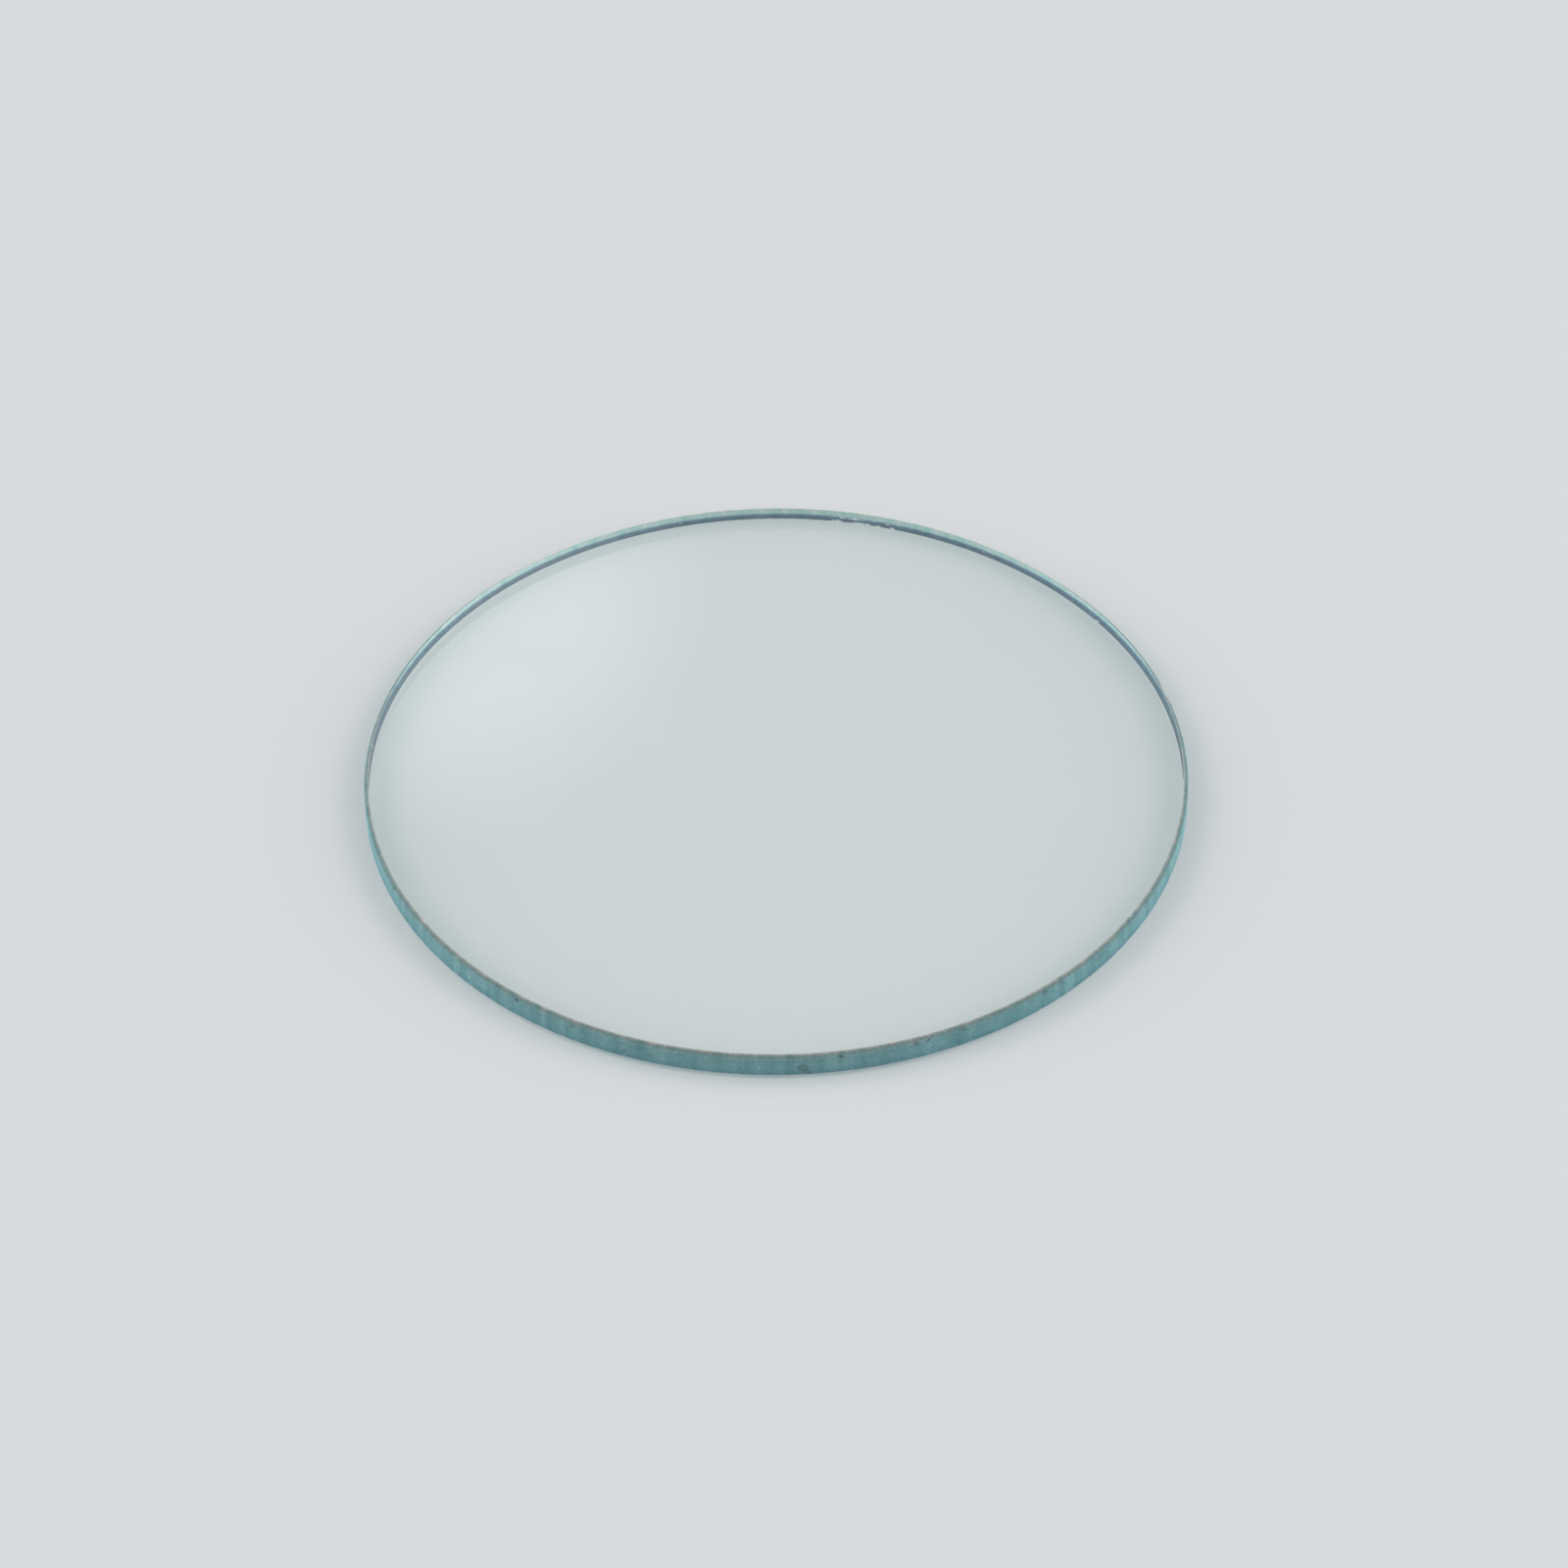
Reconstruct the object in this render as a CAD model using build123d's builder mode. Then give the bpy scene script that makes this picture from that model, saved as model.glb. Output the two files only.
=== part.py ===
# Flat round watch crystal of mineral glass.
#
# A watch crystal is the window over the dial. This one is a plain disc with no dome, no magnifier
# and no step: it is cut from a polished sheet, its rim is ground round on a wheel, and the two sharp
# corners of the rim are taken off with a fine bevel, so that they neither chip nor cut the gasket.
# It is one piece of glass, so there is one solid.
#
# Frame: the origin is the centre of the underside, which rests on the seat in the watch case.
# +Z points up out of the watch, to the wearer's eye. Lengths are in millimetres.

from build123d import *
import os

# What the disc is sold by
rim_diameter = 29.5
glass_thickness = 1.0

# The bevels, measured along the face and down the rim alike. Together they are
# narrower than the glass is thick, which leaves the ground land that the gasket grips.
outer_bevel = 0.15
seat_bevel = 0.15

# Where the sizes above put the rest
rim_radius = rim_diameter / 2
land_height = glass_thickness - outer_bevel - seat_bevel


with BuildPart() as crystal:
    # The blank, cut from the sheet and ground to its diameter
    with BuildSketch(Plane.XY):
        Circle(rim_radius)
    extrude(amount=glass_thickness)

    # The bevel on the corner that the wearer's side shows
    outer_corner = crystal.edges().filter_by(GeomType.CIRCLE).group_by(Axis.Z)[-1]
    chamfer(outer_corner, outer_bevel)

    # The bevel on the corner that goes down into the case
    seat_corner = crystal.edges().filter_by(GeomType.CIRCLE).group_by(Axis.Z)[0]
    chamfer(seat_corner, seat_bevel)

crystal.part.label = "crystal"


# The ground land is the only face that is a cylinder, so its height tells what the bevels left
land = crystal.faces().filter_by(GeomType.CYLINDER)[0]
print(f"crystal: {rim_diameter} mm across, {glass_thickness} mm thick, {crystal.part.volume:.2f} mm3")
print(f"ground land: {land.bounding_box().size.Z:.3f} mm high, {land_height:.3f} mm by the sizes")

os.makedirs("parts", exist_ok=True)
export_step(crystal.part, "parts/crystal.step")
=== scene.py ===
# %% [markdown]
# # A flat watch crystal
#
# A watch crystal is the window over the dial. This one is a plain disc of mineral glass: two
# polished faces, a rim that was ground to a satin, and a fine bevel on each corner of the rim.
# It is one piece, so the whole lesson is about one mesh, one glass and the light that shows it.
#
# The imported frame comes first, because it says how large the disc is and where it lies. All
# lengths are in metres, so a size in millimetres is written times MM.

# %% Load the frame
import math
import random

import bmesh
import bpy
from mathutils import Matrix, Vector
from mathutils.kdtree import KDTree


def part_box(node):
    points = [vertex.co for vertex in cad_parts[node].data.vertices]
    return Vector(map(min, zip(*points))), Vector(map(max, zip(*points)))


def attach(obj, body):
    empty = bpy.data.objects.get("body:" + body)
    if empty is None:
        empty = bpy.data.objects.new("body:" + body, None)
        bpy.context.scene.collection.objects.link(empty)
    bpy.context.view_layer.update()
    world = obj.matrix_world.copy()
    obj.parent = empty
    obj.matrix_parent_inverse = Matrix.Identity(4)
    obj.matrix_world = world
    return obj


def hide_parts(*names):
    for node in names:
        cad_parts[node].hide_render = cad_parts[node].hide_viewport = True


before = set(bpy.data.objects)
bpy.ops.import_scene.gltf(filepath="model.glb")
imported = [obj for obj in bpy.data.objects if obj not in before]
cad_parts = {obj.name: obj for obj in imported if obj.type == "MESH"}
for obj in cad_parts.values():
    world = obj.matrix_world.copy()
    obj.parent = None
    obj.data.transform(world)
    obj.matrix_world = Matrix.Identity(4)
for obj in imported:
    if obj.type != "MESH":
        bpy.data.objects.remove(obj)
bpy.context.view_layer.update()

MM = 0.001
seat_corner, top_corner = (Vector(corner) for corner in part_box("crystal"))

# %% [markdown]
# ## The sizes
#
# The disc is as wide and as thick as the frame says. Its mesh there is made of short straight
# runs, so its box is a few thousandths of a millimetre narrower than the true circle, and the
# narrower side is taken, which keeps the glass inside the box. The bevels repeat the real sizes:
# 0.15 mm along the face and 0.15 mm down the rim. What they leave upright between them is
# called the land.

# %% Measure the disc
glass_thickness = top_corner.z - seat_corner.z
rim_radius = min(top_corner.x, top_corner.y, -seat_corner.x, -seat_corner.y)
bevel_width = 0.15 * MM
face_radius = rim_radius - bevel_width
land_top = glass_thickness - bevel_width
print(f"disc {2 * rim_radius / MM:.3f} mm across, {glass_thickness / MM:.3f} mm thick")

# %% [markdown]
# ## The camera
#
# A long lens looks down on the disc at about 42 degrees. It was fitted to the two outlines of the
# rim in the photograph: the top face's edge and the outer edge of the ground rim. The fit gives
# the pixel where the top face's centre lies in a frame of 1600 by 1600 pixels, how far away it
# is, and a roll of less than half a degree.
#
# The camera could also be aimed with a Track To constraint. Three plain vectors are shorter, and
# they give the position from the same measurements.

# %% Work out where the camera stands
PHOTO_SIDE_PX = 1600
SENSOR_WIDTH = 36.0
lens_length = 157.5
lens_in_pixels = lens_length / SENSOR_WIDTH * PHOTO_SIDE_PX
look_down = math.radians(42.073)
camera_roll = math.radians(-0.434)
centre_px = Vector((791.93, 785.01))
centre_depth = 245.67 * MM

ahead = Vector((0, math.cos(look_down), -math.sin(look_down)))
level_right = Vector((1, 0, 0))
level_up = level_right.cross(ahead)
right = math.cos(camera_roll) * level_right + math.sin(camera_roll) * level_up
up = right.cross(ahead)

top_centre = Vector((0, 0, top_corner.z))
off_axis = (centre_px - Vector((PHOTO_SIDE_PX, PHOTO_SIDE_PX)) / 2) / lens_in_pixels * centre_depth
camera_place = top_centre - off_axis.x * right + off_axis.y * up - centre_depth * ahead
print("camera at", [round(v / MM, 2) for v in camera_place])

# %% [markdown]
# A camera looks along its own -Z, with Y up. So its matrix is given axis by axis: to the right,
# up, and backwards, which is ahead turned round. The place comes last.

# %% Set up the camera
nearest_seen = 1 * MM
farthest_seen = 10_000 * MM

camera_data = bpy.data.cameras.new("photo_camera")
camera_data.sensor_width = SENSOR_WIDTH
camera_data.lens = lens_length
camera_data.clip_start = nearest_seen
camera_data.clip_end = farthest_seen
camera = bpy.data.objects.new("photo_camera", camera_data)
camera.matrix_world = (
    (right.x, right.y, right.z, 0),
    (up.x, up.y, up.z, 0),
    (-ahead.x, -ahead.y, -ahead.z, 0),
    (camera_place.x, camera_place.y, camera_place.z, 1),
)
bpy.context.scene.collection.objects.link(camera)
bpy.context.scene.camera = camera
print("lens", lens_length, "mm, looking down at", round(math.degrees(look_down), 1), "degrees")

# %% [markdown]
# ## The blank and its bevels
#
# The real disc is cut round from a sheet, its rim is ground on a wheel and its corners are broken
# with a bevel. The mesh is made in the same order: a round blank, and a bevel on the two corners
# of the rim.
#
# A spun profile would give the same shape, but then the bevels would be four typed points
# instead of an operation that a reader can change.

# %% Break a corner
SHARP_CORNER = math.radians(20)


def sharp_rings(disc):
    """The edges that run round the disc along a corner"""
    return [edge for edge in disc.edges if edge.calc_face_angle(0) > SHARP_CORNER]


def bevel_rings(disc, width, segments):
    """Breaks every corner that runs round the disc"""
    bmesh.ops.bevel(
        disc,
        geom=sharp_rings(disc),
        offset=width,
        offset_type="OFFSET",
        segments=segments,
        profile=0.5,
        affect="EDGES",
        material=-1,
        clamp_overlap=False,
    )


print("a corner turns by more than", round(math.degrees(SHARP_CORNER)), "degrees")

# %% [markdown]
# The two extra layers are made before anything else, because a layer that is added later can
# make bmesh lose the parts that a script already holds. One is the map for pictures of the
# surface, and the other marks where glass has broken away.

# %% Make the blank
RIM_STEPS = 960

disc = bmesh.new()
surface_map = disc.loops.layers.uv.new("OFBake")
fresh_break = disc.verts.layers.float.new("fresh_break")
bmesh.ops.create_cone(
    disc,
    cap_ends=True,
    cap_tris=False,
    segments=RIM_STEPS,
    radius1=rim_radius,
    radius2=rim_radius,
    depth=glass_thickness,
)
bmesh.ops.translate(disc, verts=disc.verts, vec=(0, 0, glass_thickness / 2))
bevel_rings(disc, bevel_width, segments=1)
print("rings after the bevels", len(disc.verts) // RIM_STEPS)

# %% [markdown]
# ## Softened corners
#
# Ground glass never ends in a mathematical edge. A much smaller bevel on each of the four new
# corners catches the thin bright lines round the rim.
#
# Smooth shading would bend the light on the flats beside such a narrow rounding, so each flat is
# inset by a few thousandths of a millimetre. The bending then stays inside that thin strip, and
# the land, the bevels and the faces stay as flat as the wheel left them.

# %% Soften the corners
corner_softening = 0.012 * MM
flat_margin = 0.004 * MM

bevel_rings(disc, corner_softening, segments=3)

# A flat is larger than this, and a strip of the rounding is smaller
smallest_flat = 0.005 * MM**2
flats = {}
for face in disc.faces:
    if face.calc_area() > smallest_flat:
        flats.setdefault(round(face.normal.z, 2), []).append(face)
for faces in flats.values():
    bmesh.ops.inset_region(disc, faces=faces, thickness=flat_margin, use_even_offset=True)
print("flats, by how far they face up", sorted(flats))

# %% [markdown]
# ## Rows and rings
#
# The rim needs a few rows of faces, or there is nothing for a chip to press in. The upright edges
# of the land and the sloping edges of the bevels are subdivided, and each polished face is inset a
# few times, which puts rings near its edge and leaves its middle one flat polygon.

# %% Cut the rows
LAND_CUTS = 6
BEVEL_CUTS = 1
FACE_RINGS = 5
face_ring_width = 0.08 * MM


def rise(edge):
    """How far an edge climbs"""
    return abs(edge.verts[0].co.z - edge.verts[1].co.z)


land_edges = [edge for edge in disc.edges if rise(edge) > glass_thickness / 2]
slope_edges = [edge for edge in disc.edges if bevel_width / 2 < rise(edge) < glass_thickness / 2]
bmesh.ops.subdivide_edges(disc, edges=land_edges, cuts=LAND_CUTS, use_grid_fill=True)
bmesh.ops.subdivide_edges(disc, edges=slope_edges, cuts=BEVEL_CUTS, use_grid_fill=True)
for ring in range(FACE_RINGS):
    # Only what is left of a polished face has more than four corners
    middles = [face for face in disc.faces if len(face.verts) > 4]
    bmesh.ops.inset_region(disc, faces=middles, thickness=face_ring_width, use_even_offset=True)
print("vertices", len(disc.verts))

# %% [markdown]
# ## Where the rim is chipped
#
# A thin sharp corner of glass loses flakes while it is ground, cut loose and handled. On the real
# one a run of chips sits on the seat corner at the back, a shallow bite is gone from the rim at
# the right, and single nicks are spread over the front. Each one is given by its angle round the
# disc, where on the rim it lies, how wide and how deep it is, how many smaller flakes went with
# it, and how bare the break is.
#
# A flake that went while the rim was being ground was ground over, and shows as a small dull
# speck, or as a mere smudge where the wheel has nearly taken it away. One that went later left
# bare glass, which glints.

# %% Name the places and the kinds
# Radius, height and outward slope of the four corners, and of the land between them
FACE_EDGE = (face_radius, glass_thickness, math.radians(67.5))
LAND_TOP = (rim_radius, land_top, math.radians(22.5))
LAND_FOOT = (rim_radius, bevel_width, math.radians(-22.5))
SEAT_EDGE = (face_radius, 0.0, math.radians(-67.5))


def on_land(height_mm):
    """A place on the land, as high above the seat as asked"""
    return (rim_radius, height_mm * MM, 0.0)


# How bare a break is, from 0 for ground glass to 1 for a clean break
GRAZED = 0.35
GROUND_OVER = 0.5
BARE = 1.0
print(f"land from {bevel_width / MM:.2f} to {land_top / MM:.2f} mm above the seat")

# %% List the chips
# Angle in degrees, place, width in mm, depth in mm, smaller flakes beside it, how bare
chips = [
    (81.3, LAND_FOOT, 0.14, 0.04, 3, GROUND_OVER),
    (80.7, SEAT_EDGE, 0.22, 0.06, 5, BARE),
    (80.2, LAND_FOOT, 0.18, 0.05, 3, BARE),
    (79.1, LAND_FOOT, 0.12, 0.03, 2, GROUND_OVER),
    (78.3, LAND_FOOT, 0.24, 0.07, 6, BARE),
    (77.6, SEAT_EDGE, 0.20, 0.05, 4, BARE),
    (77.0, LAND_FOOT, 0.14, 0.04, 3, GROUND_OVER),
    (76.3, SEAT_EDGE, 0.18, 0.05, 4, BARE),
    (75.4, LAND_FOOT, 0.20, 0.05, 4, GROUND_OVER),
    (74.6, SEAT_EDGE, 0.16, 0.04, 3, BARE),
    (73.2, LAND_FOOT, 0.12, 0.03, 2, BARE),
    (72.6, SEAT_EDGE, 0.20, 0.06, 4, BARE),
    (85.5, FACE_EDGE, 0.10, 0.02, 1, GROUND_OVER),
    (36.0, SEAT_EDGE, 0.16, 0.04, 2, BARE),
    (18.0, LAND_TOP, 0.20, 0.05, 2, BARE),
    (17.1, LAND_TOP, 0.46, 0.09, 3, GROUND_OVER),
    (15.8, LAND_TOP, 0.42, 0.08, 3, GROUND_OVER),
    (14.6, LAND_TOP, 0.22, 0.06, 2, BARE),
    (-3.5, FACE_EDGE, 0.10, 0.02, 1, GROUND_OVER),
    (-5.6, FACE_EDGE, 0.09, 0.02, 1, BARE),
    (-9.5, FACE_EDGE, 0.12, 0.025, 1, BARE),
    (-40.3, on_land(0.65), 0.10, 0.015, 1, GROUND_OVER),
    (-51.0, LAND_TOP, 0.13, 0.02, 1, GROUND_OVER),
    (-64.4, LAND_TOP, 0.12, 0.025, 1, GROUND_OVER),
    (-69.4, LAND_TOP, 0.12, 0.025, 1, GROUND_OVER),
    (-81.5, LAND_TOP, 0.14, 0.03, 2, GROUND_OVER),
    (-86.3, on_land(0.27), 0.24, 0.010, 3, GRAZED),
    (-107.6, on_land(0.47), 0.12, 0.015, 1, GROUND_OVER),
    (-109.7, FACE_EDGE, 0.10, 0.02, 1, GROUND_OVER),
    (-127.6, LAND_TOP, 0.18, 0.04, 2, GROUND_OVER),
    (-156.0, LAND_TOP, 0.16, 0.03, 3, GROUND_OVER),
]
print("chips with a place of their own", len(chips))

# %% [markdown]
# ## The small nicks
#
# Between the chips the whole rim has nicks and pits of less than a tenth of a millimetre. They
# aren't worth placing one by one, so they are drawn at random. The seed is fixed, and each run
# puts them in the same spots.

# %% Scatter the nicks
NICKS = 80
nick_heights_mm = (0.2, 0.8)
nick_widths_mm = (0.05, 0.09)
nick_depth_share = 0.2
random_chips = random.Random(29)

for nick in range(NICKS):
    anywhere = on_land(random_chips.uniform(*nick_heights_mm))
    place = random_chips.choice([FACE_EDGE, LAND_TOP, LAND_FOOT, SEAT_EDGE, anywhere])
    width_mm = random_chips.uniform(*nick_widths_mm)
    depth_mm = nick_depth_share * width_mm
    bareness = random_chips.choice([GROUND_OVER, BARE])
    chips.append((random_chips.uniform(0, 360), place, width_mm, depth_mm, 0, bareness))
print("chips and nicks", len(chips))

# %% [markdown]
# ## A ball for each flake
#
# A flake of glass leaves a smooth hollow, like the inside of a shell. So each chip is one ball
# that is pressed into the rim, with a few smaller balls beside it that come in from other sides,
# which makes its outline ragged.
#
# The ball follows from the width and the depth of the hollow. Its radius is
# (width squared / 4 + depth squared) / (2 x depth), and its middle lies outside the glass, so far
# out that only the depth reaches in.

# %% Turn the chips into balls
FLAKE_SPREAD = 0.8
FLAKE_TILT = 0.5
FLAKE_SIZES = (0.35, 0.7)


def ball(angle, place, width, depth):
    """Middle and radius of the ball whose hollow is as wide and as deep as asked"""
    place_radius, height, slope = place
    radius = (width**2 / 4 + depth**2) / (2 * depth)
    outward = radius - depth
    reach = place_radius + outward * math.cos(slope)
    lift = outward * math.sin(slope)
    return Vector((reach * math.cos(angle), reach * math.sin(angle), height + lift)), radius


balls = []
for degrees, place, width_mm, depth_mm, smaller, bareness in chips:
    angle = math.radians(degrees)
    width = width_mm * MM
    depth = depth_mm * MM
    balls.append((*ball(angle, place, width, depth), bareness))
    place_radius, height, slope = place
    for flake in range(smaller):
        aside = random_chips.uniform(-FLAKE_SPREAD, FLAKE_SPREAD) * width / rim_radius
        tilted = (place_radius, height, slope + random_chips.uniform(-FLAKE_TILT, FLAKE_TILT))
        share = random_chips.uniform(*FLAKE_SIZES)
        balls.append((*ball(angle + aside, tilted, share * width, share * depth), bareness))
print("balls", len(balls))

# %% [markdown]
# ## Pressing the chips in
#
# The rows are about a tenth of a millimetre apart, too coarse for a chip, so the edges round each
# ball are first subdivided. Only those are, because the whole rim that fine would have sixteen
# times as many faces.
#
# Then each vertex inside a ball moves out to the ball's surface. The ball's middle is outside the
# glass, so that moves it into the glass, and the result is a hollow. A boolean cut would do the
# same, but it leaves slivers where a ball only grazes the rim.

# %% Press the chips in
FINE_CUTS = 3
fine_margin = 0.05 * MM


def reached(disc, spare):
    """Pairs of a ball's number and a vertex that it reaches, found with a search tree"""
    disc.verts.index_update()
    disc.verts.ensure_lookup_table()
    search_tree = KDTree(len(disc.verts))
    for vert in disc.verts:
        search_tree.insert(vert.co, vert.index)
    search_tree.balance()
    pairs = []
    for number, (middle, radius, bareness) in enumerate(balls):
        for spot, index, distance in search_tree.find_range(middle, radius + spare):
            pairs.append((number, disc.verts[index]))
    return pairs


near = {vert for number, vert in reached(disc, fine_margin)}
fine_edges = [edge for edge in disc.edges if edge.verts[0] in near and edge.verts[1] in near]
bmesh.ops.subdivide_edges(disc, edges=fine_edges, cuts=FINE_CUTS, use_grid_fill=True)

pressed = 0
for number, vert in reached(disc, fine_margin):
    middle, radius, bareness = balls[number]
    away = vert.co - middle
    if away.length < radius:
        vert.co = middle + away.normalized() * radius
        vert[fresh_break] = max(vert[fresh_break], bareness)
        pressed += 1
print("edges made finer", len(fine_edges), "vertices pressed in", pressed)

# %% [markdown]
# ## The map of the surface
#
# When the part is exported, its procedural finish is turned into a square picture. The rim is
# where all the detail is, but it is a strip 93 mm long and 1.1 mm high, and a square that holds it
# in one piece shows it as a thread. So the map cuts the rim into eight rows, laid under each other
# at about five times the scale of the two faces, which lie side by side above them.

# %% Set the scales of the map
MAP_ROWS = 8
MAP_SIDE_PX = 1024
FACE_PX_PER_MM = 13.6
RIM_PX_PER_MM = 64
ROW_PITCH_PX = 76
BORDER_PX = 6

map_pixel = 1 / MAP_SIDE_PX
face_scale = FACE_PX_PER_MM * map_pixel / MM
rim_scale = RIM_PX_PER_MM * map_pixel / MM
row_pitch = ROW_PITCH_PX * map_pixel
map_border = BORDER_PX * map_pixel
print("rows end at pixel", BORDER_PX + MAP_ROWS * ROW_PITCH_PX, "of", MAP_SIDE_PX)

# %% [markdown]
# A polished face is flat already, so it goes into the map as it is. A piece of the rim is rolled
# out: how far round it lies becomes the way along its row, and how far down the profile it lies
# becomes the way across. An automatic unwrapping would give the faces and the rim one scale.

# %% Flatten a face or a piece of the rim
def along_profile(height):
    """How far down the profile a point of the rim is, from the edge of the top face"""
    down = glass_thickness - height
    on_bevels = min(down, bevel_width) + max(down - land_top, 0)
    return down + (math.sqrt(2) - 1) * on_bevels


def map_face(face, middle):
    """Lays a piece of a polished face flat, round the middle that is given"""
    for loop in face.loops:
        loop[surface_map].uv = middle + loop.vert.co.xy * face_scale


def map_rim(face):
    """Lays a piece of the rim in its row"""
    middle = face.calc_center_median()
    turn = math.atan2(middle.y, middle.x) % math.tau
    row = int(turn / math.tau * MAP_ROWS)
    row_start = Vector((map_border, map_border + row * row_pitch))
    for loop in face.loops:
        beside = math.atan2(loop.vert.co.y, loop.vert.co.x) - turn
        beside = (beside + math.pi) % math.tau - math.pi
        round_the_rim = (turn + beside - row * math.tau / MAP_ROWS) * rim_radius
        down = along_profile(loop.vert.co.z)
        loop[surface_map].uv = row_start + Vector((round_the_rim, down)) * rim_scale


print(f"from face to face the profile is {along_profile(0) / MM:.2f} mm long")

# %% Lay every piece in the map
disc.normal_update()
# The seam between a face and the rim lies in the rounding of the corner
seam_radius = face_radius - corner_softening / 2
face_middle = map_border + face_radius * face_scale
top_middle = Vector((face_middle, 1 - face_middle))
seat_middle = Vector((3 * face_middle, 1 - face_middle))
for face in disc.faces:
    if face.calc_center_median().xy.length > seam_radius:
        map_rim(face)
    elif face.normal.z > 0:
        map_face(face, top_middle)
    else:
        map_face(face, seat_middle)
print(f"seam between faces and rim at {seam_radius / MM:.3f} mm from the axis")

# %% [markdown]
# ## The finished mesh
#
# The mesh has to be closed, because a glass bends light by what is inside and what is outside. The
# count of open edges proves it. The shading is smooth, and edges that a chip left at more than
# 28 degrees stay sharp, as broken glass does.

# %% Make the glass object
BROKEN_EDGE = math.radians(28)

bmesh.ops.recalc_face_normals(disc, faces=disc.faces)
open_edges = sum(not edge.is_manifold for edge in disc.edges)
triangles = sum(len(face.verts) - 2 for face in disc.faces)
volume_mm3 = disc.calc_volume() / MM**3
print(f"open edges {open_edges}, triangles {triangles}, volume {volume_mm3:.2f} mm3")

glass_mesh = bpy.data.meshes.new("crystal_glass")
disc.to_mesh(glass_mesh)
disc.free()
glass_mesh.shade_smooth()
glass_mesh.set_sharp_from_angle(angle=BROKEN_EDGE)

glass = bpy.data.objects.new("crystal_glass", glass_mesh)
bpy.context.scene.collection.objects.link(glass)
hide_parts("crystal")
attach(glass, "root")

# %% [markdown]
# ## Helpers for the materials
#
# Three small helpers are enough for every material: one turns a colour as a painting program
# writes it into the linear colour that a shader counts in, one adds a node with its values and
# links, and one starts an empty material.
#
# An input goes by its name, or by its number where several share a name. On a Math or Mix Shader
# node the numbers count up from 0. On a Mix node 0 is the share, 2 and 3 are two plain values, 6
# and 7 are two colours, and the mixed colour is output 2.

# %% Helpers
def linear_colour(code):
    """An sRGB hex value as the linear colour that a shader takes"""
    parts = [int(code[i : i + 2], 16) / 255 for i in (1, 3, 5)]
    return [p / 12.92 if p <= 0.04045 else ((p + 0.055) / 1.055) ** 2.4 for p in parts] + [1]


def add_node(tree, kind, inputs=None, **settings):
    """Adds a node. An input takes a value, or a link where it is given a socket"""
    node = tree.nodes.new(kind)
    for name, value in settings.items():
        setattr(node, name, value)
    for name, value in (inputs or {}).items():
        if isinstance(value, bpy.types.NodeSocket):
            tree.links.new(value, node.inputs[name])
        else:
            node.inputs[name].default_value = value
    return node


def new_material(name):
    """A material with no nodes in it yet"""
    material = bpy.data.materials.new(name)
    material.use_nodes = True
    material.node_tree.nodes.clear()
    return material


half_light = [round(part, 3) for part in linear_colour("#BCBCBC")[:3]]
print("#BCBCBC looks pale, and in linear light it is", half_light)

# %% [markdown]
# ## Where the glass is ground
#
# The disc is one closed body of glass, so it has one material, and the nodes tell its surfaces
# apart: the faces are polished, the rim is ground, and the chips are broken.
#
# Two measures do that. The distance from the axis says where the face ends and the bevel begins.
# The layer that the chips left says where ground glass has gone. Both are read from the object,
# so the finish stays on it however it is turned.

# %% Find where the face ends
mineral_glass = new_material("polished_and_ground_mineral_glass")
glass_tree = mineral_glass.node_tree
on_glass = add_node(glass_tree, "ShaderNodeTexCoord").outputs["Object"]
# With its height taken away, a point is as long as its distance from the axis
seen_flat = add_node(
    glass_tree,
    "ShaderNodeVectorMath",
    {0: on_glass, 1: (1, 1, 0)},
    operation="MULTIPLY",
)
from_axis = add_node(
    glass_tree,
    "ShaderNodeVectorMath",
    {0: seen_flat.outputs[0]},
    operation="LENGTH",
)
outside_face = add_node(
    glass_tree,
    "ShaderNodeMapRange",
    {
        "Value": from_axis.outputs["Value"],
        "From Min": face_radius - corner_softening,
        "From Max": face_radius,
    },
)
print(f"the ground glass begins {face_radius / MM:.2f} mm from the axis")

# %% [markdown]
# Every chip keeps some of the haze, because its hollow is rippled more finely than the mesh. The
# tone of the rim fades only in a bare one.

# %% Take the chips out of the ground glass
BROKEN_HAZE = 0.45

broken = add_node(glass_tree, "ShaderNodeAttribute", attribute_name="fresh_break").outputs["Fac"]
still_ground = add_node(
    glass_tree,
    "ShaderNodeMapRange",
    {"Value": broken, "From Max": GROUND_OVER, "To Min": 1.0, "To Max": BROKEN_HAZE},
)
still_toned = add_node(
    glass_tree,
    "ShaderNodeMapRange",
    {
        "Value": broken,
        "From Min": GROUND_OVER,
        "From Max": BARE,
        "To Min": 1.0,
        "To Max": BROKEN_HAZE,
    },
)
ground = add_node(
    glass_tree,
    "ShaderNodeMath",
    {0: outside_face.outputs["Result"], 1: still_ground.outputs["Result"]},
    operation="MULTIPLY",
).outputs[0]
toned = add_node(
    glass_tree,
    "ShaderNodeMath",
    {0: outside_face.outputs["Result"], 1: still_toned.outputs["Result"]},
    operation="MULTIPLY",
).outputs[0]
print("nodes that find the ground glass", len(glass_tree.nodes))

# %% [markdown]
# ## The marks of the wheel
#
# The rim was ground with grit of about 0.02 mm, which leaves a satin of tiny pits. Those are far
# too fine for a picture of the whole disc, so the grain is drawn at 0.12 mm, six times as
# coarse, where it shows as a faint mottling. The wheel also shook a little, which left upright
# streaks on the land. They are the same kind of noise, with its height squeezed, so that it
# changes round the rim but hardly from top to bottom.

# %% Draw the wheel marks
grain_size = 0.12 * MM
streak_size = 0.45 * MM
streak_stretch = 0.07

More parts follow.
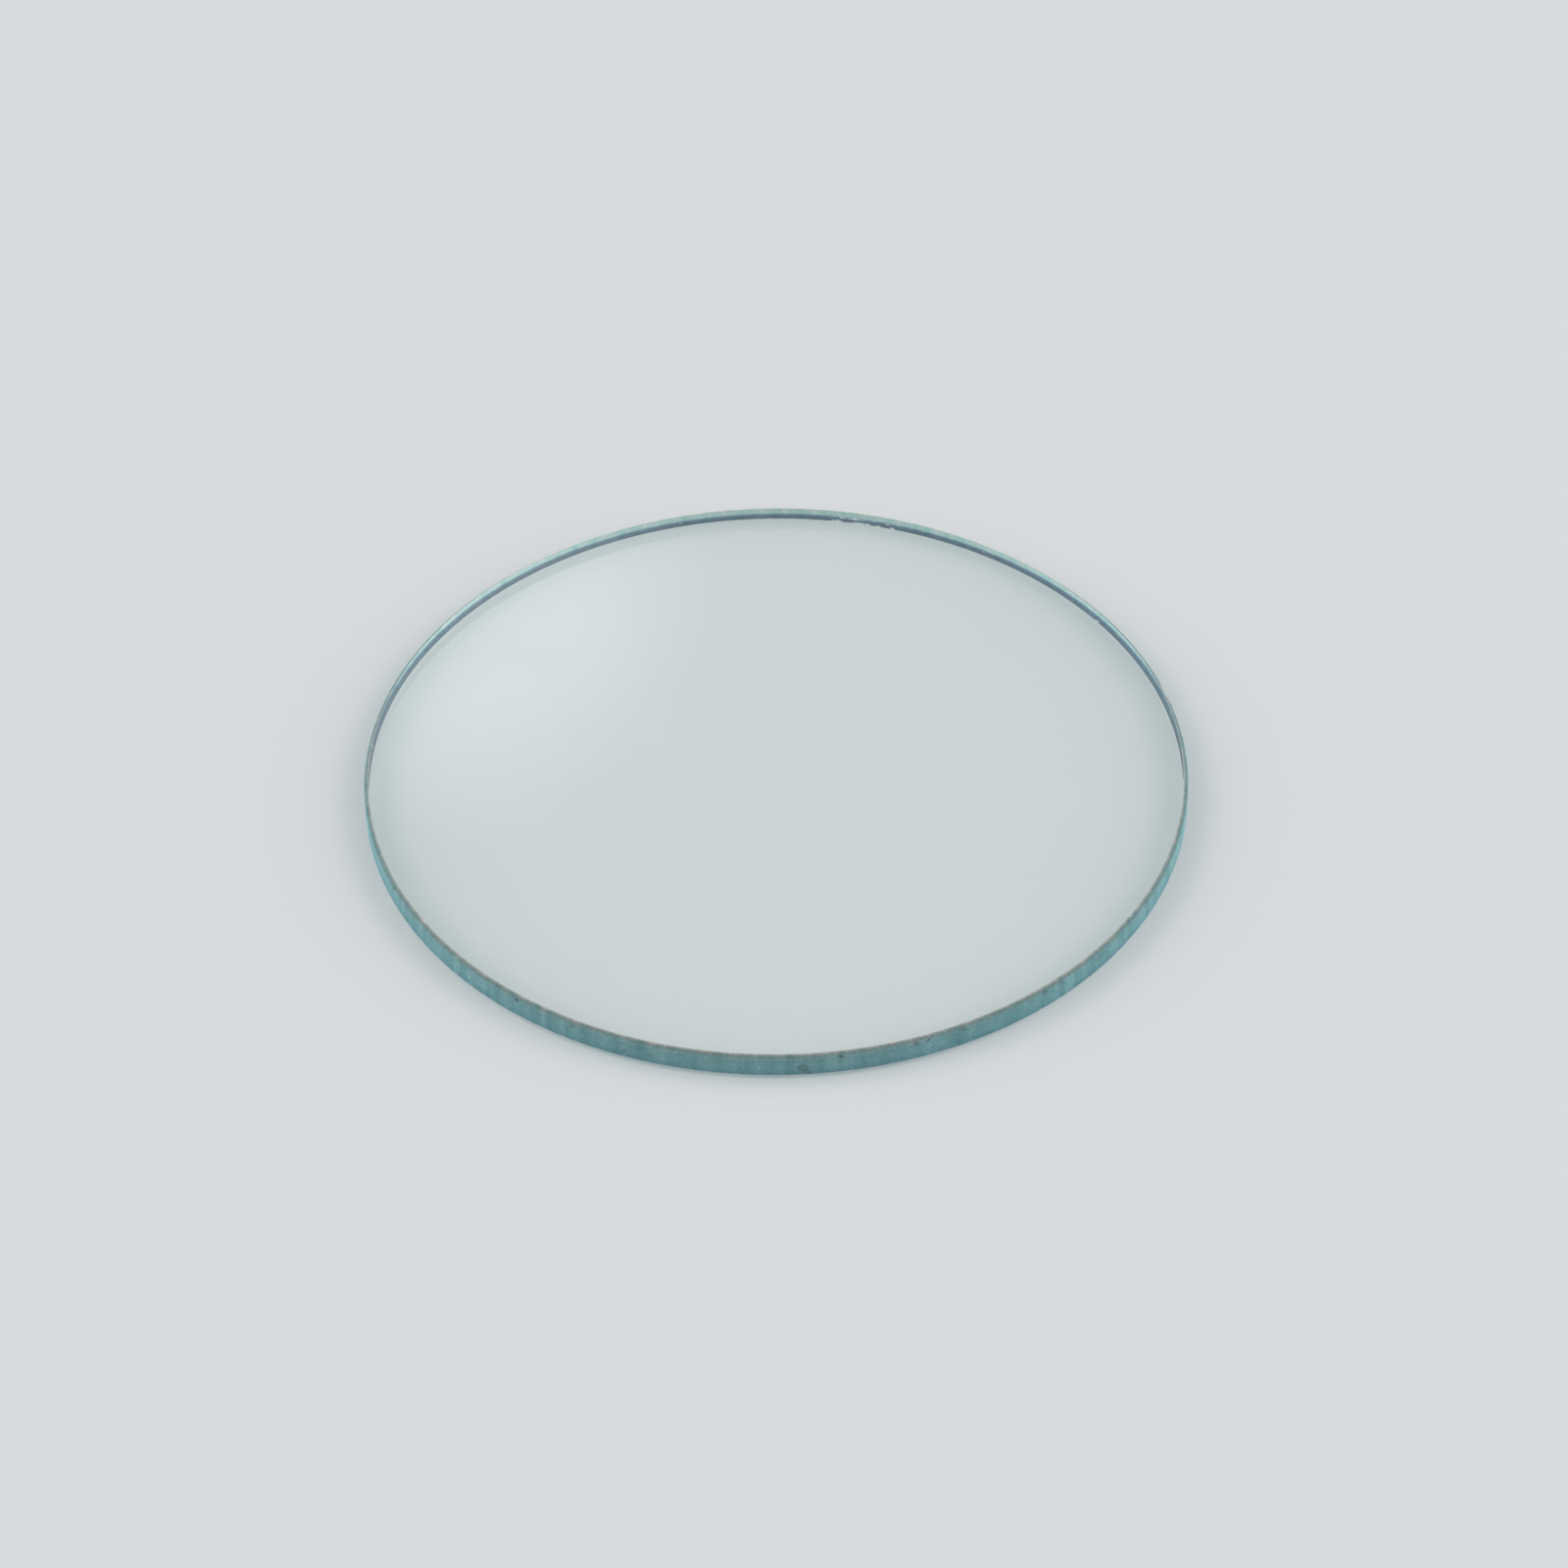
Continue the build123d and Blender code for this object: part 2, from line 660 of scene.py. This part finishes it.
grain = add_node(
    glass_tree,
    "ShaderNodeTexNoise",
    {"Vector": on_glass, "Scale": 1 / grain_size, "Detail": 3.0, "Roughness": 0.6},
).outputs["Fac"]
squeezed = add_node(
    glass_tree,
    "ShaderNodeMapping",
    {"Vector": on_glass, "Scale": (1, 1, streak_stretch)},
)
streaks = add_node(
    glass_tree,
    "ShaderNodeTexNoise",
    {"Vector": squeezed.outputs[0], "Scale": 1 / streak_size, "Detail": 2.0, "Roughness": 0.5},
).outputs["Fac"]
print(f"grain {grain_size / MM:.2f} mm, streaks {streak_size / MM:.2f} mm wide")

# %% [markdown]
# The grain and the streaks are multiplied, so that each streak is grainy. A Bump node makes a
# relief of them, only where the glass is ground. Real dents would need a far finer mesh.

# %% Put the marks together
mark_depth = 0.004 * MM

product = add_node(
    glass_tree,
    "ShaderNodeMath",
    {0: grain, 1: streaks},
    operation="MULTIPLY",
).outputs[0]
# Each noise swings round a half, and so does twice their product
marks = add_node(
    glass_tree,
    "ShaderNodeMath",
    {0: product, 1: 2.0},
    operation="MULTIPLY",
).outputs[0]
relief = add_node(
    glass_tree,
    "ShaderNodeBump",
    {"Strength": ground, "Distance": mark_depth, "Height": marks},
)
print(f"marks up to {mark_depth / MM:.3f} mm deep")

# %% [markdown]
# ## The tones of the rim
#
# Sheet glass has a little iron in it, which takes red out of the light. Across 1 mm nobody sees
# it. At the rim the light has come through many millimetres of glass, and the ground surface
# stops it there and scatters it, so the rim glows aqua while the faces look clear.
#
# The tone changes down the profile, and part of that change is painted light and shade. The outer
# bevel shows short paths through the glass and is greyer. Where it meets the face a pale line is
# painted as a highlight, and its corner with the land is painted a little lighter, as a highlight
# too. The land is the full aqua, with painted shade that darkens its lower part a little, and the
# seat bevel, turned away from the light, is painted dull as shade.
#
# The far half of the rim is seen from inside, through the face and the glass under it. For that
# side the rim has a painted lit copy of its tones: painted light, nearly white, at the top of the
# land, which stands in for the light that comes straight through the ground surface with hardly
# any glass to cross, and painted shade, slate blue, down at the seat bevel.

# %% List the tones
# Share of the height, from the seat up, and the tone there. The darker stops up to 0.32 are
# painted shade, and the lighter ones at 0.85 and 0.97 are painted highlights
rim_tones_with_painted_light = {
    0.00: "#4F5C68",
    0.13: "#58707C",
    0.17: "#6394A0",
    0.32: "#609CA5",
    0.50: "#6DA3A8",
    0.80: "#6CA0A4",
    0.85: "#76A6A8",
    0.89: "#6A8D90",
    0.95: "#768A89",
    0.97: "#A8AAA4",
}
# The same for the rim as it shows from inside, a paler copy with painted light and shade
painted_backlit_inner_tones = {
    0.00: "#4C5F6C",
    0.13: "#4F7085",
    0.17: "#7BA5AF",
    0.30: "#B6DADB",
    0.50: "#BCDBD4",
    0.85: "#B8D6CD",
    0.97: "#A8AAA4",
}
print("tones outside", len(rim_tones_with_painted_light), "and inside", len(painted_backlit_inner_tones))

# %% [markdown]
# ## One ramp outside and one inside
#
# A colour ramp over the height holds each set of tones. The grain shifts the height a little, so
# that the lines between the tones aren't ruled.

# %% Measure the height
line_wander = 0.012

above_seat = add_node(glass_tree, "ShaderNodeSeparateXYZ", {0: on_glass}).outputs["Z"]
height_share = add_node(
    glass_tree,
    "ShaderNodeMapRange",
    {"Value": above_seat, "From Min": 0.0, "From Max": glass_thickness},
).outputs["Result"]
line_shift = add_node(
    glass_tree,
    "ShaderNodeMapRange",
    {"Value": grain, "To Min": -line_wander, "To Max": line_wander},
)
uneven_height = add_node(
    glass_tree,
    "ShaderNodeMath",
    {0: height_share, 1: line_shift.outputs["Result"]},
)
print(f"a line wanders by up to {line_wander * glass_thickness / MM:.3f} mm")

# %% [markdown]
# The Backfacing output of the Geometry node is 1 where a ray meets a surface from inside, so it
# picks between the ramps. Two skins, one in the other, would do the same with twice the mesh.

# %% Make the ramps
ramps = []
for tones in (rim_tones_with_painted_light, painted_backlit_inner_tones):
    ramp = add_node(glass_tree, "ShaderNodeValToRGB", {"Fac": uneven_height.outputs[0]})
    stops = ramp.color_ramp.elements
    for share, code in tones.items():
        stops.new(share).color = linear_colour(code)
    stops.remove(stops[0])
    stops.remove(stops[-1])
    ramps.append(ramp.outputs["Color"])
    print("stops of a ramp", len(stops))

# From inside, the rim takes the copy with painted light and shade
from_inside = add_node(glass_tree, "ShaderNodeNewGeometry").outputs["Backfacing"]
tone = add_node(
    glass_tree,
    "ShaderNodeMix",
    {0: from_inside, 6: ramps[0], 7: ramps[1]},
    data_type="RGBA",
)

# %% [markdown]
# ## The mottling
#
# Where the pits are deeper they scatter more white light, and the spot looks paler and greyer.
# Overlay does that: a colour over middle grey lightens and one under it darkens. Red, which the
# glass gives back least of, is given the widest swing.

# %% Mottle the rim
DULL_SPOT = "#599292"
PALE_SPOT = "#F3DCDC"
NO_TONE = "#FFFFFF"

speckle = add_node(
    glass_tree,
    "ShaderNodeMix",
    {0: marks, 6: linear_colour(DULL_SPOT), 7: linear_colour(PALE_SPOT)},
    data_type="RGBA",
)
mottled = add_node(
    glass_tree,
    "ShaderNodeMix",
    {0: 1.0, 6: tone.outputs[2], 7: speckle.outputs[2]},
    data_type="RGBA",
    blend_type="OVERLAY",
)
surface_colour = add_node(
    glass_tree,
    "ShaderNodeMix",
    {0: toned, 6: linear_colour(NO_TONE), 7: mottled.outputs[2]},
    data_type="RGBA",
)
print("nodes with the colour", len(glass_tree.nodes))

# %% [markdown]
# ## The polished faces
#
# Float glass leaves its bath of tin as smooth as a liquid, so a face needs hardly any roughness.
# What a face does have is what wiping leaves: a film that is a little heavier in some places, and
# a few hairlines. Both only dull the reflection, so they go into the roughness and nowhere else.

# %% Leave a film
film_patch = 4.0 * MM
film_begins = 0.4
film_is_full = 0.75
CLEAN_ROUGHNESS = 0.01
FILM_ROUGHNESS = 0.06

film = add_node(
    glass_tree,
    "ShaderNodeTexNoise",
    {"Vector": on_glass, "Scale": 1 / film_patch, "Detail": 4.0, "Roughness": 0.55},
)
wiped = add_node(
    glass_tree,
    "ShaderNodeMapRange",
    {
        "Value": film.outputs["Fac"],
        "From Min": film_begins,
        "From Max": film_is_full,
        "To Min": CLEAN_ROUGHNESS,
        "To Max": FILM_ROUGHNESS,
    },
)
print(f"film in patches of {film_patch / MM:.0f} mm")

# %% [markdown]
# The hairlines are the borders of long stretched cells. The Mapping node squeezes before it
# turns, so the cells are long from left to right, the way the cloth went, and the turn only picks
# another set of them. A real hairline is a few thousandths of a millimetre wide and is drawn at
# about 0.02 mm.

# %% Draw the hairlines
pattern_turn = math.radians(38)
wiping_stretch = 0.15
hairline_gap = 5.0 * MM
hairline_share = 0.004
HAIRLINE_ROUGHNESS = 0.12

wiping_path = add_node(
    glass_tree,
    "ShaderNodeMapping",
    {
        "Vector": on_glass,
        "Rotation": (0, 0, pattern_turn),
        "Scale": (wiping_stretch, 1, 1),
    },
)
cells = add_node(
    glass_tree,
    "ShaderNodeTexVoronoi",
    {"Vector": wiping_path.outputs[0], "Scale": 1 / hairline_gap},
    feature="DISTANCE_TO_EDGE",
)
hairlines = add_node(
    glass_tree,
    "ShaderNodeMapRange",
    {
        "Value": cells.outputs["Distance"],
        "From Max": hairline_share,
        "To Min": HAIRLINE_ROUGHNESS,
        "To Max": 0.0,
    },
)
face_roughness = add_node(
    glass_tree,
    "ShaderNodeMath",
    {0: wiped.outputs["Result"], 1: hairlines.outputs["Result"]},
)
print(f"hairlines about {hairline_gap / MM:.0f} mm apart")

# %% [markdown]
# ## How rough and how clear
#
# The ground rim scatters as much as it lets through, so its transmission is well under 1 and its
# roughness is high. From inside it lets even less through, because light that comes to it at a
# slant is thrown back into the glass. The chips are clearer again.

# %% Set the roughness and the clearness
GROUND_ROUGHNESS = 0.68
ROUGHNESS_SWING = 0.1
GROUND_CLEARNESS = 0.42
GROUND_CLEARNESS_INSIDE = 0.12

ground_roughness = add_node(
    glass_tree,
    "ShaderNodeMapRange",
    {
        "Value": marks,
        "To Min": GROUND_ROUGHNESS - ROUGHNESS_SWING,
        "To Max": GROUND_ROUGHNESS + ROUGHNESS_SWING,
    },
)
roughness = add_node(
    glass_tree,
    "ShaderNodeMix",
    {0: ground, 2: face_roughness.outputs[0], 3: ground_roughness.outputs["Result"]},
)
ground_clearness = add_node(
    glass_tree,
    "ShaderNodeMapRange",
    {"Value": from_inside, "To Min": GROUND_CLEARNESS, "To Max": GROUND_CLEARNESS_INSIDE},
)
clearness = add_node(
    glass_tree,
    "ShaderNodeMapRange",
    {"Value": ground, "To Min": 1.0, "To Max": ground_clearness.outputs["Result"]},
)
print("clearness of the ground rim", GROUND_CLEARNESS, "and", GROUND_CLEARNESS_INSIDE, "inside")

# %% [markdown]
# ## The glass
#
# Mineral glass is soda-lime glass, with an index of 1.52. One Principled shader takes what the
# cells above worked out. A Glass and a Diffuse shader could be mixed instead, but an export
# understands the Principled one better.
#
# The tint of the iron belongs to the inside of the glass, so it is a volume. It is so faint that
# only a long way through the glass shows it. Its colour and density are plain numbers on their
# own sockets, because an export can't read linked ones.

# %% Make the glass
GLASS_INDEX = 1.52
IRON_TINT = "#9AEFE8"
IRON_DENSITY = 25

glass_shader = add_node(
    glass_tree,
    "ShaderNodeBsdfPrincipled",
    {
        "Base Color": surface_colour.outputs[2],
        "Roughness": roughness.outputs[0],
        "IOR": GLASS_INDEX,
        "Transmission Weight": clearness.outputs["Result"],
        "Normal": relief.outputs["Normal"],
    },
)
iron_tint = add_node(
    glass_tree,
    "ShaderNodeVolumeAbsorption",
    {"Color": linear_colour(IRON_TINT), "Density": IRON_DENSITY},
)
print("index of the glass", GLASS_INDEX)

# %% [markdown]
# ## Light through the glass
#
# A lamp can't find its way through a glass that bends light, so the floor under the disc would be
# as dark as under a plate. Light Path mends that: for a lamp's ray, and for the light that has
# bounced off the floor, the glass is a plain sheet, nearly clear at the faces and tinted at the
# rim. The camera's own rays meet the real glass.

# %% Let the lamps through
FACE_LETS_THROUGH = "#FAFBFB"
RIM_LETS_THROUGH = "#A9BFC0"

rays = add_node(glass_tree, "ShaderNodeLightPath").outputs
passing = add_node(
    glass_tree,
    "ShaderNodeMix",
    {0: ground, 6: linear_colour(FACE_LETS_THROUGH), 7: linear_colour(RIM_LETS_THROUGH)},
    data_type="RGBA",
)
plain_sheet = add_node(glass_tree, "ShaderNodeBsdfTransparent", {"Color": passing.outputs[2]})
for_bounces = add_node(
    glass_tree,
    "ShaderNodeMixShader",
    {0: rays["Is Diffuse Ray"], 1: glass_shader.outputs["BSDF"], 2: plain_sheet.outputs["BSDF"]},
)
for_lamps = add_node(
    glass_tree,
    "ShaderNodeMixShader",
    {0: rays["Is Shadow Ray"], 1: for_bounces.outputs["Shader"], 2: plain_sheet.outputs["BSDF"]},
)
add_node(
    glass_tree,
    "ShaderNodeOutputMaterial",
    {"Surface": for_lamps.outputs["Shader"], "Volume": iron_tint.outputs["Volume"]},
)
glass_mesh.materials.append(mineral_glass)
print("nodes in the glass", len(glass_tree.nodes))

# %% [markdown]
# ## The floor
#
# The disc lies on a plain pale floor, matt, so that it shows the shadow and nothing else. It is a
# hair below the seat, because two surfaces in one plane flicker.

# %% Lay the floor
floor_gap = 0.02 * MM
floor_half = 600 * MM

sheet = bmesh.new()
bmesh.ops.create_grid(sheet, x_segments=1, y_segments=1, size=floor_half)
bmesh.ops.translate(sheet, verts=sheet.verts, vec=(0, 0, seat_corner.z - floor_gap))
floor_mesh = bpy.data.meshes.new("studio_floor")
sheet.to_mesh(floor_mesh)
sheet.free()
floor = bpy.data.objects.new("studio_floor", floor_mesh)
bpy.context.scene.collection.objects.link(floor)
print(f"floor {2 * floor_half / MM:.0f} mm wide, {floor_gap / MM:.2f} mm under the seat")

# %% [markdown]
# Matt paint on board scatters nearly all the light that it gives back, so it is very rough and
# has hardly any gloss.

# %% Paint the floor
FLOOR_COLOUR = "#D9DCDE"
FLOOR_ROUGHNESS = 0.9
FLOOR_GLOSS = 0.1

floor_paint = new_material("matt_painted_board")
floor_tree = floor_paint.node_tree
floor_shader = add_node(
    floor_tree,
    "ShaderNodeBsdfPrincipled",
    {
        "Base Color": linear_colour(FLOOR_COLOUR),
        "Roughness": FLOOR_ROUGHNESS,
        "Specular IOR Level": FLOOR_GLOSS,
    },
)
add_node(floor_tree, "ShaderNodeOutputMaterial", {"Surface": floor_shader.outputs["BSDF"]})
floor_mesh.materials.append(floor_paint)
print("floor painted", FLOOR_COLOUR)

# %% [markdown]
# ## A diffuser for the veil
#
# Clear glass shows by what it mirrors. A diffuser stands behind the disc to the left, just where
# the top face mirrors it, and lays a soft veil on the upper left of the face. The veil is what
# tells the eye that there is a sheet of glass and not an empty ring.
#
# The diffuser is a brighter patch of the world, whose edge can be as soft as it needs to be. A
# lamp would do too, but its edge is sharp.

# %% Place the diffuser
VEIL_LIGHT = 2.4
veil_direction = Vector((-0.052, 0.764, 0.643)).normalized()
veil_inner = math.radians(0.3)
veil_outer = math.radians(2.6)

world = bpy.data.worlds.new("studio_air")
world.use_nodes = True
bpy.context.scene.world = world
world_tree = world.node_tree
world_tree.nodes.clear()
direction = add_node(world_tree, "ShaderNodeTexCoord").outputs["Generated"]
closeness = add_node(
    world_tree,
    "ShaderNodeVectorMath",
    {0: direction, 1: veil_direction},
    operation="DOT_PRODUCT",
)
veil = add_node(
    world_tree,
    "ShaderNodeMapRange",
    {
        "Value": closeness.outputs["Value"],
        "From Min": math.cos(veil_outer),
        "From Max": math.cos(veil_inner),
        "To Min": 1.0,
        "To Max": VEIL_LIGHT,
    },
    interpolation_type="SMOOTHSTEP",
)
print(f"diffuser {math.degrees(2 * veil_outer):.1f} degrees across")

# %% [markdown]
# ## The air of the studio
#
# The world gives an even light from all sides, and what the camera, a reflection and a look
# through the glass see of it has the floor's colour.

# %% Make the world
LIGHT_COLOUR = "#FFFFFF"
WORLD_LIGHT = 0.31

rays = add_node(world_tree, "ShaderNodeLightPath").outputs
seen_or_mirrored = add_node(
    world_tree,
    "ShaderNodeMath",
    {0: rays["Is Camera Ray"], 1: rays["Is Glossy Ray"]},
    operation="MAXIMUM",
)
seen_ray = add_node(
    world_tree,
    "ShaderNodeMath",
    {0: seen_or_mirrored.outputs[0], 1: rays["Is Transmission Ray"]},
    operation="MAXIMUM",
)
light = add_node(
    world_tree,
    "ShaderNodeBackground",
    {"Color": linear_colour(LIGHT_COLOUR), "Strength": WORLD_LIGHT},
)
backdrop = add_node(
    world_tree,
    "ShaderNodeBackground",
    {"Color": linear_colour(FLOOR_COLOUR), "Strength": veil.outputs["Result"]},
)
mixed = add_node(
    world_tree,
    "ShaderNodeMixShader",
    {0: seen_ray.outputs[0], 1: light.outputs[0], 2: backdrop.outputs[0]},
)
add_node(world_tree, "ShaderNodeOutputWorld", {"Surface": mixed.outputs[0]})
print("even light", WORLD_LIGHT, "and up to", VEIL_LIGHT, "in the diffuser's mirror image")

# %% [markdown]
# ## The softboxes
#
# Two large softboxes stand left and right. Glass shows its form by where its edges light up: the
# sides of the rim come out brightest, and its front, which faces neither box, stays the deepest
# aqua.
#
# Seen from the side, a polished face mirrors the box behind it, and a box that is bright enough to
# light the disc would turn the whole face white. So the boxes are as wide as they can be, which
# lets them be dim, and each is two lamps in one place. The strong one lights the disc and isn't
# seen in a mirror, and the weak one is what the mirror shows.

# %% Place the softboxes
BOX_SIDE = 750 * MM
LIGHTING_POWER = 4.1
MIRRORED_POWER = 0.45
box_places_mm = {"left": (-560, 40, 300), "right": (560, -20, 290)}


def square_lamp(name, place_mm, power, mirrored):
    """A lamp of a softbox, which faces the disc"""
    lamp = bpy.data.lights.new(name, "AREA")
    lamp.shape = "SQUARE"
    lamp.size = BOX_SIDE
    lamp.energy = power
    holder = bpy.data.objects.new(name, lamp)
    holder.location = Vector(place_mm) * MM
    holder.rotation_euler = (-holder.location).to_track_quat("-Z", "Y").to_euler()
    holder.visible_glossy = mirrored
    bpy.context.scene.collection.objects.link(holder)


for side, place_mm in box_places_mm.items():
    square_lamp(f"{side}_softbox", place_mm, LIGHTING_POWER, mirrored=False)
    square_lamp(f"{side}_softbox_mirrored", place_mm, MIRRORED_POWER, mirrored=True)
    print(side, "softbox", round(Vector(place_mm).length), "mm away")

# Standard shows a colour as it is written
bpy.context.scene.view_settings.view_transform = "Standard"

# %% [markdown]
# ## The end

# %% Finish
print("the scene is set up")
